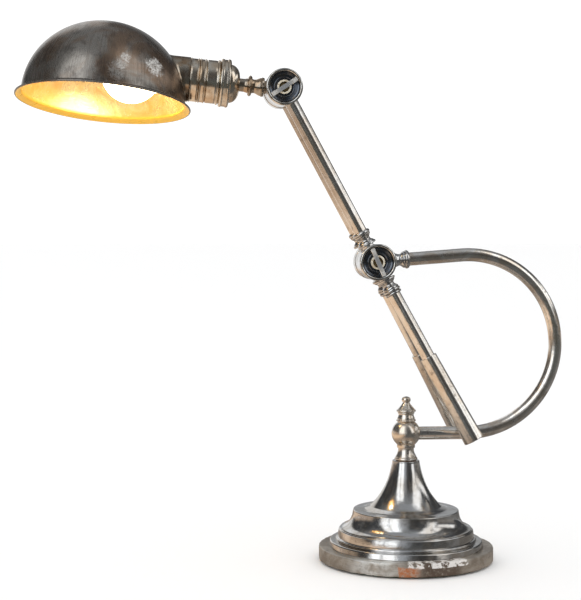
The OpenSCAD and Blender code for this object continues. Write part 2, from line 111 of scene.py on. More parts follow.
def corner_arc(before, corner, after, radius):
    """Points of an arc that rounds a corner of an outline."""
    u = (before - corner).normalized()
    w = (after - corner).normalized()
    half = u.angle(w, math.pi) / 2
    if half > math.radians(88) or half < math.radians(3):
        return [corner]
    room = 0.48 * min((before - corner).length, (after - corner).length)
    reach = min(radius / math.tan(half), room)
    radius = reach * math.tan(half)
    centre = corner + (u + w).normalized() * radius / math.sin(half)
    start = corner + u * reach - centre
    end = corner + w * reach - centre
    steps = max(2, math.ceil(start.angle(end) / math.radians(18)))
    turn = start.angle_signed(end)
    return [centre + Matrix.Rotation(-turn * i / steps, 2) @ start for i in range(steps + 1)]


def rounded(points, closed=True):
    """An outline with its corners rounded where a point gives a radius."""
    flat = [Vector(p[:2]) for p in points]
    out = []
    for i, point in enumerate(points):
        inner = closed or 0 < i < len(points) - 1
        radius = point[2] if len(point) > 2 else 0
        if radius and inner:
            out += corner_arc(flat[i - 1], flat[i], flat[(i + 1) % len(flat)], radius)
        else:
            out.append(flat[i])
    return out


def supported(points, closed=True, reach=0.3):
    """The outline with a point added near each end of its long straights, to keep shading crisp."""
    out = []
    count = len(points)
    for i, a in enumerate(points):
        out.append(a)
        if i == count - 1 and not closed:
            break
        b = points[(i + 1) % count]
        length = (b - a).length
        if length > 4 * reach:
            out += [a.lerp(b, reach / length), a.lerp(b, 1 - reach / length)]
    return out


def arc(r, z, q, a, b, n=10):
    """Outline points round (r, z) at radius q, from angle a to b in degrees."""
    angles = [math.radians(a + (b - a) * i / n) for i in range(n + 1)]
    return [(r + q * math.cos(t), z + q * math.sin(t)) for t in angles]


def ease(r0, z0, r1, z1, n=10):
    """Outline points on a smooth S from (r0, z0) to (r1, z1)."""
    shares = [i / n for i in range(n + 1)]
    return [(r0 + (r1 - r0) * (1 - math.cos(math.pi * t)) / 2, z0 + (z1 - z0) * t) for t in shares]


def new_object(name, mesh, matrix):
    obj = bpy.data.objects.new(name, mesh)
    bpy.context.scene.collection.objects.link(obj)
    obj.matrix_world = matrix
    return obj


def smooth(mesh, angle=38):
    mesh.polygons.foreach_set("use_smooth", [True] * len(mesh.polygons))
    mesh.set_sharp_from_angle(angle=math.radians(angle))


def set_grain(mesh, coordinates=None):
    """Stores texture coordinates in millimetres: the local place, or a bent piece's place if straightened."""
    if mesh.attributes.get("grain"):
        mesh.attributes.remove(mesh.attributes["grain"])
    attribute = mesh.attributes.new("grain", "FLOAT_VECTOR", "POINT")
    values = coordinates or [v.co / MM for v in mesh.vertices]
    attribute.data.foreach_set("vector", [c for value in values for c in value])


def from_rings(name, rings, matrix, closed, grain=None, angle=38):
    """A mesh from rings of points in millimetres. A ring of one point is a pole."""
    mesh = bpy.data.meshes.new(name)
    bm = bmesh.new()
    made = [[bm.verts.new(Vector(p) * MM) for p in ring] for ring in rings]
    pairs = list(zip(made, made[1:])) + ([(made[-1], made[0])] if closed else [])
    for low, high in pairs:
        count = max(len(low), len(high))
        for i in range(count):
            j = (i + 1) % count
            corners = [low[i % len(low)], low[j % len(low)], high[j % len(high)], high[i % len(high)]]
            corners = list(dict.fromkeys(corners))
            if len(corners) > 2:
                bm.faces.new(corners)
    bmesh.ops.recalc_face_normals(bm, faces=bm.faces)
    bm.to_mesh(mesh)
    bm.free()
    set_grain(mesh, grain)
    smooth(mesh, angle)
    return new_object(name, mesh, matrix)


def lathe(name, points, matrix=AT_STEM, segments=96, closed=True, wobble=None):
    """A turned piece: the outline swept round local Z. It closes on the axis where its ends lie there."""
    outline = supported(rounded(points, closed), closed)
    on_axis = outline[0].x < 1e-6 and outline[-1].x < 1e-6
    rings = []
    for p in outline:
        if p.x < 1e-6:
            rings.append([(0, 0, p.y)])
            continue
        ring = []
        for i in range(segments):
            t = 2 * math.pi * i / segments
            r, z = wobble(p.x, p.y, t) if wobble else (p.x, p.y)
            ring.append((r * math.cos(t), r * math.sin(t), z))
        rings.append(ring)
    return from_rings(name, rings, matrix, closed and not on_axis)


def ring_round(centre, side, binormal, radius, segments):
    angles = [2 * math.pi * i / segments for i in range(segments)]
    return [centre + side * radius * math.cos(t) + binormal * radius * math.sin(t) for t in angles]


def sweep(name, path, radius, bore, matrix=AT_STEM, segments=48):
    """A tube along a path in the local XZ plane, in millimetres, with open ends and a wall."""
    path = [Vector(p) for p in path]
    along = [0.0]
    for a, b in zip(path, path[1:]):
        along.append(along[-1] + (b - a).length)
    outer, inner, outer_grain, inner_grain = [], [], [], []
    for i, p in enumerate(path):
        tangent = (path[min(i + 1, len(path) - 1)] - path[max(i - 1, 0)]).normalized()
        side = Y_AXIS.cross(tangent)
        for r, rings, grains in ((radius, outer, outer_grain), (bore, inner, inner_grain)):
            rings.append(ring_round(p, side, Y_AXIS, r, segments))
            grains.append(ring_round(Vector((0, 0, along[i])), Vector((1, 0, 0)), Y_AXIS, r, segments))
    rings = outer + inner[::-1]
    grains = outer_grain + inner_grain[::-1]
    return from_rings(name, rings, matrix, True, [g for ring in grains for g in ring])


def apply_modifiers(obj):
    depsgraph = bpy.context.evaluated_depsgraph_get()
    mesh = bpy.data.meshes.new_from_object(obj.evaluated_get(depsgraph))
    obj.modifiers.clear()
    obj.data = mesh


def boolean(obj, other, operation):
    """Cuts or joins two meshes, and removes the second."""
    modifier = obj.modifiers.new("cut", "BOOLEAN")
    modifier.operation = operation
    modifier.solver = "EXACT"
    modifier.object = other
    apply_modifiers(obj)
    bpy.data.objects.remove(other)


def fuse(name, *parts):
    """One piece from several that overlap."""
    first = parts[0]
    for other in parts[1:]:
        boolean(first, other, "UNION")
    first.name = name
    first.data.name = name
    set_grain(first.data)
    smooth(first.data, 34)
    return first


# ---- materials


class Nodes:
    """A short way to build the nodes of a material or of the world."""

    def __init__(self, owner):
        owner.use_nodes = True
        self.owner = owner
        self.tree = owner.node_tree
        self.shader = self.tree.nodes.get("Principled BSDF") or self.tree.nodes["Background"]

    def add(self, kind, inputs=(), **settings):
        node = self.tree.nodes.new("ShaderNode" + kind)
        for key, value in settings.items():
            setattr(node, key, value)
        for key, value in dict(inputs).items():
            self.put(node.inputs[key], value)
        return node

    def put(self, socket, value):
        if isinstance(value, bpy.types.NodeSocket):
            self.tree.links.new(value, socket)
        else:
            socket.default_value = value

    def set(self, **values):
        for key, value in values.items():
            self.put(self.shader.inputs[key.replace("_", " ")], value)

    def math(self, operation, a, b=0.0, clamp=False):
        node = self.add("Math", {0: a, 1: b}, operation=operation, use_clamp=clamp)
        return node.outputs[0]

    def times(self, a, b):
        return self.math("MULTIPLY", a, b)

    def grain(self):
        return self.add("Attribute", attribute_name="grain").outputs["Vector"]

    def place(self):
        """Object coordinates in millimetres, for pieces with no grain of their own."""
        coordinates = self.add("TexCoord").outputs["Object"]
        return self.add("VectorMath", {0: coordinates, "Scale": 1000}, operation="SCALE").outputs[0]

    def scaled(self, vector, scale):
        return self.add("VectorMath", {0: vector, 1: scale}, operation="MULTIPLY").outputs[0]

    def rings(self, vector, across, along, around=0.0):
        """Coordinates that change with the radius and the height, and little round the axis."""
        split = self.add("SeparateXYZ", {0: vector})
        angle = self.math("ARCTAN2", split.outputs[1], split.outputs[0])
        parts = {
            0: self.times(self.radius(vector), across),
            1: self.times(split.outputs[2], along),
            2: self.times(self.math("ABSOLUTE", angle), around),
        }
        return self.add("CombineXYZ", parts).outputs[0]

    def radius(self, vector):
        flat = self.scaled(vector, (1, 1, 0))
        return self.add("VectorMath", {0: flat}, operation="LENGTH").outputs["Value"]

    def turned_streaks(self, vector):
        """Coordinates that change round the axis, and little from the rim to the pole."""
        unit = self.add("VectorMath", {0: self.scaled(vector, (1, 1, 0.1))}, operation="NORMALIZE").outputs[0]
        return self.scaled(unit, (40, 40, 4))

    def noise(self, vector, scale=1.0, detail=4.0, rough=0.55, distortion=0.0):
        inputs = {"Vector": vector, "Scale": scale, "Detail": detail, "Roughness": rough}
        inputs["Distortion"] = distortion
        return self.add("TexNoise", inputs).outputs["Fac"]

    def ramp(self, value, low, high):
        """0 below low, 1 above high, smooth between."""
        inputs = {"Value": value, "From Min": low, "From Max": high}
        return self.add("MapRange", inputs, interpolation_type="SMOOTHSTEP").outputs[0]

    def between(self, value, a, b):
        return self.add("MapRange", {"Value": value, "To Min": a, "To Max": b}).outputs[0]

    def mix(self, share, a, b):
        node = self.add("Mix", data_type="RGBA")
        self.put(node.inputs["Factor"], share)
        for key, value in (("A", a), ("B", b)):
            socket = [s for s in node.inputs if s.name == key and s.type == "RGBA"][0]
            self.put(socket, value if isinstance(value, bpy.types.NodeSocket) else (*value, 1))
        return [s for s in node.outputs if s.type == "RGBA"][0]

    def window(self, value, low, high, soft):
        """1 between low and high, 0 outside, with soft edges."""
        up = self.ramp(value, low - soft, low + soft)
        down = self.ramp(value, high - soft, high + soft)
        return self.math("SUBTRACT", up, down)

    def bump(self, height_value, strength, distance=0.0001, after=None):
        inputs = {"Height": height_value, "Strength": strength, "Distance": distance}
        if after is not None:
            inputs["Normal"] = after
        return self.add("Bump", inputs).outputs["Normal"]


def old_metal(name, light, warm, dark, rough, turned=0.5, streak=0.0, patch=0.03, tarnish=0.5):
    """Worn polished metal: light and warm patches, dark tarnish, turning or drawing marks, scratches."""
    m = Nodes(bpy.data.materials.new(name))
    here = m.grain()
    patches = m.noise(here, patch, 5.0, 0.6, 0.6)
    colour = m.mix(m.ramp(patches, 0.42, 0.62), light, warm)
    stains = m.noise(here, patch * 4.3, 6.0, 0.68, 0.3)
    stained = m.times(m.ramp(stains, 0.56, 0.72), tarnish)
    colour = m.mix(stained, colour, dark)
    specks = m.noise(here, 0.9, 3.0, 0.7)
    colour = m.mix(m.times(m.ramp(specks, 0.66, 0.74), 0.6 * tarnish), colour, dark)
    marks = m.noise(m.rings(here, 2.2, 2.2, 0.25), 1.0, 3.0, 0.7)
    drawn = m.noise(m.scaled(here, (1.3, 1.3, 0.03)), 1.0, 3.0, 0.7)
    scratches = m.noise(m.scaled(here, (0.25, 1.1, 2.6)), 1.0, 5.0, 0.75)
    roughness = m.math("ADD", m.between(stains, rough[0], rough[1]), m.times(stained, 0.16))
    roughness = m.math("ADD", roughness, m.times(m.ramp(scratches, 0.5, 0.75), 0.1), clamp=True)
    normal = m.bump(marks, turned, 0.00006)
    normal = m.bump(drawn, streak, 0.00006, normal)
    normal = m.bump(m.noise(here, 0.12, 2.0), 0.35, 0.0004, normal)
    m.set(Base_Color=colour, Metallic=1.0, Roughness=roughness, Normal=normal)
    return m.owner


def plain_material(name, colour, second, rough, metallic=0.0, scale=0.4, bump=0.2):
    """A hidden or small piece's finish: two close colours in fine noise, with a little relief."""
    m = Nodes(bpy.data.materials.new(name))
    here = m.place()
    value = m.noise(here, scale, 4.0, 0.6)
    m.set(
        Base_Color=m.mix(m.ramp(value, 0.35, 0.65), colour, second),
        Metallic=metallic,
        Roughness=m.between(value, rough - 0.08, rough + 0.08),
        Normal=m.bump(value, bump, 0.0001),
    )
    return m.owner


def knob_material():
    """A bright nickel rim round a turned dish. The dish is painted dark blue-grey as a reflection of a dark
    room, the boss is painted bright cream and made partly matte as a highlight, and the bore inside the boss
    is painted dark as shade.
    """
    m = Nodes(bpy.data.materials.new("knob_nickel"))
    here = m.grain()
    radius = m.radius(here)
    edge = m.noise(here, 0.35, 4.0, 0.65)
    # Painted reflection: the dish is coloured dark blue-grey, as polished metal facing a dark room looks.
    dish = m.mix(m.ramp(edge, 0.5, 0.72), (0.11, 0.125, 0.15), (0.17, 0.145, 0.12))
    rim = m.mix(m.ramp(edge, 0.45, 0.65), (0.74, 0.73, 0.70), (0.46, 0.42, 0.36))
    # Painted highlight: the boss is pale cream and, below, only partly metallic, so it shows bright.
    boss = m.mix(m.ramp(edge, 0.45, 0.62), (0.95, 0.88, 0.72), (0.62, 0.50, 0.34))
    colour = m.mix(m.ramp(radius, 14.1, 14.6), dish, rim)
    colour = m.mix(m.ramp(radius, 6.75, 6.6), colour, boss)
    # Painted shade: the bore inside the boss is dark brown.
    colour = m.mix(m.ramp(radius, 4.9, 4.6), colour, (0.10, 0.06, 0.03))
    rings = m.noise(m.rings(here, 1.6, 1.6, 0.05), 1.0, 2.0, 0.5)
    normal = m.bump(rings, 0.12, 0.00006)
    metal = m.math("SUBTRACT", 1.0, m.times(m.window(radius, 4.8, 6.7, 0.1), 0.6))
    m.set(Base_Color=colour, Metallic=metal, Roughness=m.between(edge, 0.12, 0.22), Normal=normal)
    return m.owner


def bar_material():
    """The pale worn bar of a knob, a little duller than the polished parts."""
    m = Nodes(bpy.data.materials.new("bar_nickel"))
    here = m.grain()
    worn = m.noise(here, 0.5, 5.0, 0.7)
    colour = m.mix(m.ramp(worn, 0.42, 0.62), (0.90, 0.89, 0.86), (0.66, 0.61, 0.54))
    # The bar is made greyer towards its middle.
    colour = m.mix(m.ramp(m.radius(here), 11.0, 3.0), colour, (0.40, 0.41, 0.42))
    scratches = m.noise(m.scaled(here, (2.4, 0.2, 2.4)), 1.0, 4.0, 0.7)
    rough = m.between(worn, 0.22, 0.4)
    m.set(Base_Color=colour, Metallic=0.6, Roughness=rough, Normal=m.bump(scratches, 0.3, 0.0001))
    return m.owner


def shade_outside():
    """Dark spun bronze: brown and grey patches, streaks up the dome, pale specks and two rubbed marks."""
    m = Nodes(bpy.data.materials.new("shade_bronze"))
    here = m.grain()
    patches = m.noise(here, 0.025, 5.0, 0.65, 0.8)
    colour = m.mix(m.ramp(patches, 0.40, 0.60), (0.290, 0.270, 0.245), (0.225, 0.160, 0.115))
    streaks = m.noise(m.turned_streaks(here), 1.0, 4.0, 0.7)
    colour = m.mix(m.times(m.ramp(streaks, 0.45, 0.7), 0.3), colour, (0.07, 0.06, 0.05))
    clouds = m.noise(here, 0.09, 6.0, 0.7)
    colour = m.mix(m.times(m.ramp(clouds, 0.48, 0.66), 0.55), colour, (0.085, 0.072, 0.064))
    pits = m.noise(here, 0.55, 3.0, 0.75)
    colour = m.mix(m.ramp(pits, 0.71, 0.76), colour, (0.55, 0.50, 0.44))
    ragged = m.noise(here, 0.16, 5.0, 0.72, 1.0)
    rubbed = m.ramp(m.noise(m.scaled(here, (0.75, 0.22, 0.55)), 1.0, 5.0, 0.75, 0.6), 0.36, 0.6)
    rough = m.math("ADD", m.between(patches, 0.18, 0.32), m.times(m.ramp(streaks, 0.4, 0.7), 0.1))
    metal = 0.9
    for centre, size, pale in SHADE_MARKS:
        gap = m.add("VectorMath", {0: here, 1: centre}, operation="DISTANCE").outputs["Value"]
        mark = m.ramp(m.math("ADD", m.math("DIVIDE", gap, size), m.times(ragged, 1.8)), 1.8, 1.45)
        mark = m.times(mark, rubbed)
        mark = m.times(mark, pale)
        colour = m.mix(mark, colour, (0.80, 0.79, 0.76))
        rough = m.math("ADD", rough, m.times(mark, 0.25), clamp=True)
        metal = m.math("SUBTRACT", metal, m.times(mark, 0.35), clamp=True)
    normal = m.bump(streaks, 0.10, 0.0001)
    normal = m.bump(m.noise(here, 0.05, 3.0, 0.6), 0.5, 0.0006, normal)
    m.set(Base_Color=colour, Metallic=metal, Roughness=rough, Normal=normal)
    return m.owner


def shade_inside():
    """Gold leaf, patchy and slightly crinkled. Towards the lip it is painted a deeper orange gold, less
    metallic and without coat, so the band looks lit by the bulb.
    """
    m = Nodes(bpy.data.materials.new("shade_gilt"))
    here = m.grain()
    leaf = m.noise(here, 0.05, 5.0, 0.68, 1.0)
    colour = m.mix(m.ramp(leaf, 0.36, 0.62), (0.94, 0.72, 0.34), (0.87, 0.56, 0.17))
    colour = m.mix(m.ramp(m.noise(here, 0.22, 4.0, 0.7), 0.6, 0.75), colour, (1.0, 0.88, 0.58))
    # Painted light: the band by the lip is painted deeper gold and made duller, to look lit by the bulb.
    lip = m.ramp(m.add("SeparateXYZ", {0: here}).outputs[2], 3.0, 0.0)
    colour = m.mix(lip, colour, (0.80, 0.46, 0.05))
    normal = m.bump(leaf, 0.45, 0.0012)
    m.set(Base_Color=colour, Metallic=m.between(lip, 0.6, 0.1), Normal=normal)
    m.set(Roughness=m.between(leaf, 0.2, 0.38))
    m.set(Coat_Weight=m.between(lip, 1.0, 0.0), Coat_Roughness=0.24, Coat_IOR=2.4)
    return m.owner


def disc_material():
    """The dull bottom disc: streaked grey-brown, with a painted reflection of the window in paler silver on
    its front-left, and bare copper and bright flakes where plating went.
    """
    m = Nodes(bpy.data.materials.new("disc_metal"))
    here = m.grain()
    split = m.add("SeparateXYZ", {0: here}).outputs
    turn = m.math("DEGREES", m.math("ARCTAN2", split[1], split[0]))
    patches = m.noise(here, 0.05, 5.0, 0.65, 0.6)
    colour = m.mix(m.ramp(patches, 0.38, 0.62), (0.38, 0.34, 0.29), (0.25, 0.21, 0.17))
    streaks = m.noise(m.scaled(here, (0.06, 0.06, 1.3)), 1.0, 5.0, 0.7)
    # Painted reflection: paler silver on the front-left, where the disc's wall faces the window.
    silver_painted_reflection = m.ramp(m.noise(here, 0.09, 4.0, 0.6), 0.3, 0.6)
    silver_painted_reflection = m.times(silver_painted_reflection, m.window(turn, -136, -106, 12))
    colour = m.mix(m.times(silver_painted_reflection, 0.8), colour, (0.74, 0.75, 0.73))
    colour = m.mix(m.times(m.ramp(streaks, 0.5, 0.7), 0.4), colour, (0.12, 0.10, 0.085))
    worn = m.ramp(m.noise(here, 0.2, 4.0, 0.7), 0.35, 0.5)
    worn = m.times(m.window(turn, -90, -62, 5), worn)
    colour = m.mix(m.times(worn, 0.85), colour, (0.11, 0.075, 0.055))
    flakes = m.noise(here, 0.13, 7.0, 0.72, 0.8)
    uneven = m.times(m.math("SUBTRACT", flakes, 0.5), 8.0)
    drop = m.math("ADD", m.math("SUBTRACT", DISC_TOP, split[2]), uneven)
    clumps = m.ramp(m.noise(here, 0.1, 3.0, 0.6, 0.5), 0.40, 0.52)
    chance = m.times(m.window(turn, -101, -54, 5), m.ramp(drop, 9.0, 4.0))
    chance = m.times(chance, m.between(clumps, 0.84, 1.06))
    flaked = m.ramp(m.times(flakes, chance), 0.465, 0.49)
    colour = m.mix(flaked, colour, (0.80, 0.77, 0.74))
    ragged = m.math("ADD", turn, m.times(flakes, 5.0))
    copper = m.times(m.ramp(ragged, -102.2, -101.4), m.ramp(ragged, -86.0, -92.0))
    copper = m.times(copper, m.ramp(drop, 3.6, 4.6))
    copper = m.times(copper, m.ramp(flakes, 0.34, 0.42))
    dulled = m.ramp(m.noise(here, 0.3, 5.0, 0.7), 0.4, 0.6)
    colour = m.mix(copper, colour, m.mix(dulled, (0.42, 0.145, 0.055), (0.44, 0.28, 0.20)))
    dark = m.ramp(m.noise(here, 0.45, 4.0, 0.75), 0.62, 0.68)
    colour = m.mix(m.times(dark, 0.7), colour, (0.06, 0.05, 0.042))
    loss = m.math("MAXIMUM", flaked, copper)
    rough = m.math("ADD", m.between(patches, 0.30, 0.46), m.times(loss, 0.1), clamp=True)
    normal = m.bump(streaks, 0.2, 0.0002)
    normal = m.bump(loss, 0.5, 0.0002, normal)
    metal = m.math("SUBTRACT", 0.5, m.times(loss, 0.3))
    m.set(Base_Color=colour, Metallic=metal, Roughness=rough, Normal=normal)
    return m.owner


DISC_TOP = height("base_disc")
SHADE_MARKS = (
    ((19, -69, 24), 6.0, 0.62),
    ((16, -71, 17), 6.5, 0.45),
    ((11.7, -73, 9), 11.0, 0.3),
    ((44.5, -56, 21), 11.5, 1.0),
)
NICKEL = old_metal("nickel", (0.66, 0.66, 0.655), (0.52, 0.49, 0.45), (0.12, 0.105, 0.09), (0.08, 0.2), 0.22)
TUBE_NICKEL = old_metal(
    "tube_nickel", (0.82, 0.80, 0.76), (0.74, 0.66, 0.57), (0.16, 0.125, 0.095), (0.10, 0.22),
    turned=0.06, streak=0.9, tarnish=0.7,
)
BOW_NICKEL = old_metal(
    "bow_nickel", (0.90, 0.87, 0.82), (0.76, 0.67, 0.57), (0.15, 0.12, 0.10), (0.10, 0.24),
    turned=0.06, streak=0.9, patch=0.045, tarnish=0.85,
)
STEM_NICKEL = old_metal(
    "stem_nickel", (0.84, 0.82, 0.78), (0.78, 0.69, 0.58), (0.2, 0.165, 0.13), (0.17, 0.32), turned=0.22
)
KNOB_NICKEL_PAINTED_LIGHT = knob_material()
BAR_NICKEL = bar_material()
BRASS = old_metal(
    "aged_brass", (0.78, 0.73, 0.64), (0.62, 0.48, 0.34), (0.10, 0.08, 0.06), (0.09, 0.22),
    turned=0.12, patch=0.045, tarnish=0.4,
)
BRONZE = shade_outside()
SPIGOT_BRASS = old_metal(
    "spigot_brass", (0.42, 0.39, 0.34), (0.42, 0.31, 0.21), (0.05, 0.04, 0.03), (0.08, 0.2),
    turned=0.12, tarnish=0.8,
)
NECK_BRONZE = old_metal(
    "neck_bronze", (0.46, 0.41, 0.34), (0.36, 0.25, 0.16), (0.06, 0.05, 0.045), (0.12, 0.26),
    turned=0.3, patch=0.06,
)
GILT = shade_inside()
DISC = disc_material()


def opal_material():
    """The lit glass of the bulb, warm and a little uneven."""
    m = Nodes(bpy.data.materials.new("opal_glass"))
    value = m.noise(m.grain(), 0.05, 2.0)
    glow = m.mix(value, (1.0, 0.80, 0.50), (1.0, 0.88, 0.64))
    m.set(Base_Color=glow, Roughness=0.25, Emission_Color=glow, Emission_Strength=7.0)
    return m.owner


OPAL = opal_material()
SLOT_MATERIALS = {
    "felt": plain_material("felt", (0.03, 0.05, 0.03), (0.05, 0.07, 0.05), 0.9, scale=2.0, bump=0.8),
    "ballast_iron": plain_material("ballast_iron", (0.05, 0.05, 0.05), (0.1, 0.09, 0.08), 0.6, 0.8),
    "stud_brass": plain_material("stud_brass", (0.6, 0.44, 0.2), (0.5, 0.35, 0.15), 0.3, 1.0),
    "hardware_steel": plain_material("hardware_steel", (0.5, 0.5, 0.5), (0.4, 0.4, 0.41), 0.3, 1.0),
    "fibre": plain_material("fibre", (0.12, 0.05, 0.03), (0.16, 0.07, 0.04), 0.8, scale=1.5),
    "gland_black": plain_material("gland_black", (0.02, 0.02, 0.02), (0.03, 0.03, 0.03), 0.45),
    "flex_black": plain_material("flex_black", (0.02, 0.02, 0.02), (0.03, 0.03, 0.03), 0.55),
    "ceramic": plain_material("ceramic", (0.8, 0.79, 0.75), (0.74, 0.73, 0.7), 0.2, scale=0.1, bump=0.05),
    "cap_metal": plain_material("cap_metal", (0.7, 0.7, 0.69), (0.6, 0.6, 0.58), 0.3, 1.0),
    "nickel": NICKEL,
    "knob_nickel": KNOB_NICKEL_PAINTED_LIGHT,
    "aged_brass": BRASS,
    "shade_bronze": BRONZE,
    "disc_metal": DISC,
    "opal_glass": OPAL,
}


def paint(obj, *materials):
    obj.data.materials.clear()
    for material in materials:
        obj.data.materials.append(material)


def piece(obj, body, slot, material, *nodes):
    """Paints a piece, puts it on its body and lets it stand for CAD nodes."""
    paint(obj, *(material if isinstance(material, tuple) else (material,)))
    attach(obj, body)
    if nodes:
        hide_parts(*nodes)
    return obj


def paint_cad_nodes():
    """The CAD nodes that nothing replaces are shown as they are, in their own slots' finishes."""
    slots = {part["node"]: part["material_slot"] for part in frame["record"]["subparts"]}
    for name, node in frame["nodes"].items():
        set_grain(node.data)
        node.data.polygons.foreach_set("use_smooth", [True] * len(node.data.polygons))
        paint(node, SLOT_MATERIALS[slots[name]])


paint_cad_nodes()


# ---- base

DISC_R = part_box("base_disc")[1].x / MM
DISC_LOW = height("base_disc", top=False)
STEP_TOP = height("base_skirt")
CONE_TOP = height("base_cone")
LEDGE_RISE = 5.6
BEAD_H = 3.0
DRUM_R = 64.0
DRUM_H = 6.6
STUD_R = 5.2


def chipped(r, z, t):
    """Wear on the bottom disc: its upper and lower edges are nibbled, and its rim isn't quite even."""
    rim = max(0.0, (r - DISC_R + 3) / 3)
    edge = max(0.0, 1 - min(DISC_TOP - z, z - DISC_LOW) / 2.2)
    here = Vector((r * math.cos(t), r * math.sin(t), z))
    bite = max(0.0, noise.noise(here * 0.22) - 0.12) * 2.0
    bite += max(0.0, noise.noise(here * 0.7) - 0.25) * 1.2
    sway = noise.noise(here * 0.05) * 0.25
    middle = (DISC_TOP + DISC_LOW) / 2
    drop = bite * rim * edge * (-1 if z > middle else 1)
    return r - rim * (bite * edge * 0.9 + abs(sway)), z + 0.5 * drop


def base():
    """The disc, the turned steps, the trumpet cone and the felt."""
    low, top = DISC_LOW, DISC_TOP
    rim = [(DISC_R, low + (top - low) * i / 12) for i in range(1, 12)]
    ledge_rings = [(r, top) for r in (79.5, 78, 76, 73, 66)]
    disc = [(0, low), (20, low), (74, low), (80, low), (DISC_R - 1.2, low), (DISC_R - 0.3, low + 0.3)]
    disc += rim + [(DISC_R - 0.3, top - 0.3), (DISC_R - 1.2, top), (81, top)] + ledge_rings + [(0, top)]
    worn = lathe("base_disc_worn", disc, segments=360, wobble=chipped)
    piece(worn, "base", "disc_metal", DISC, "base_disc")

    ledge = top + LEDGE_RISE
    drum_low = ledge + BEAD_H
    drum_top = drum_low + DRUM_H
    cove = STEP_TOP - 1
    deep = cove - drum_top - 1.8
    drum = [(DRUM_R + 0.3 - 0.7 * (i / 8) ** 1.3, drum_low + DRUM_H * i / 8) for i in range(9)]
    bends = [math.radians(261 - 81 * i / 24) for i in range(25)]
    skirt = [(71.4, top + 0.02), (73, top + 0.02, 0.3), *arc(70.8, ledge - 1.4, 1.4, 12, 90, 8)]
    skirt += [(DRUM_R + 3.4, ledge, 0.2), *arc(DRUM_R + 1.2, ledge + 1.3, 1.3, -50, 90, 10)]
    skirt += drum + arc(DRUM_R - 2, drum_top, 1.2, 10, 90, 6) + [(DRUM_R - 2.4, drum_top + 1.2, 0.2)]
    for t in bends:
        drop = -deep * math.sin(t)
        skirt.append((DRUM_R + 14 * math.cos(t) + 0.14 * drop * math.exp(-drop / 4), cove - drop))
    skirt += arc(DRUM_R - 15, cove, 1, 8, 90, 6) + [(46, STEP_TOP), (STUD_R, STEP_TOP)]
    skirt.append((STUD_R, STEP_TOP - 1.4))
    skirt += [(DRUM_R - 16.5, STEP_TOP - 1.6), (DRUM_R - 12.4, STEP_TOP - 10), (DRUM_R - 7.5, drum_top + 2.2)]
    skirt += [(DRUM_R - 3, drum_top - 1.4), (DRUM_R - 3, ledge - 1.4), (71.4, ledge - 1.6)]
    piece(lathe("base_steps", skirt, segments=192), "base", "nickel", NICKEL, "base_skirt")

    rise = CONE_TOP - STEP_TOP
    foot = [(48, STEP_TOP + 0.02), (44, STEP_TOP + 0.12), (41.4, STEP_TOP + 0.45), (39.2, STEP_TOP + 1.05)]
    flare = [(8.4 + 28.8 * math.exp(-rise * i / 28 / 24), STEP_TOP + rise * i / 28) for i in range(28)]
    flare[:2] = foot + [(36.9, STEP_TOP + 2.0)]
    tip = flare[-1][0]
    cone = flare + [(tip, CONE_TOP, 0.6), (STUD_R, CONE_TOP), (STUD_R, CONE_TOP - 8)]
    cone += [(r - 2.2, z) for r, z in flare[5:28:3]][::-1] + [(35, STEP_TOP)]
    piece(lathe("base_trumpet", cone, segments=144), "base", "nickel", NICKEL, "base_cone")

    felt_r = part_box("felt_pad")[1].x / MM
    felt = [(12, 0, 0.4), (felt_r, 0, 0.5), (felt_r, DISC_LOW, 0.2), (12, DISC_LOW, 0.2)]
    piece(lathe("felt_ring", felt, segments=96), "base", "felt", SLOT_MATERIALS["felt"], "felt_pad")


# ---- stem and bow

BALL_R = 13.6
TUBE_R = 6.25
TUBE_BORE = 5.05
RUN_Z = height("bow_tube", top=False) + TUBE_R
BALL_Z = RUN_Z + 0.3
RING_S = 28.5
RING_END = 32.2
RING_R = 8.4
CENTRE_R = 16.4
CENTRE_HALF = 8.2


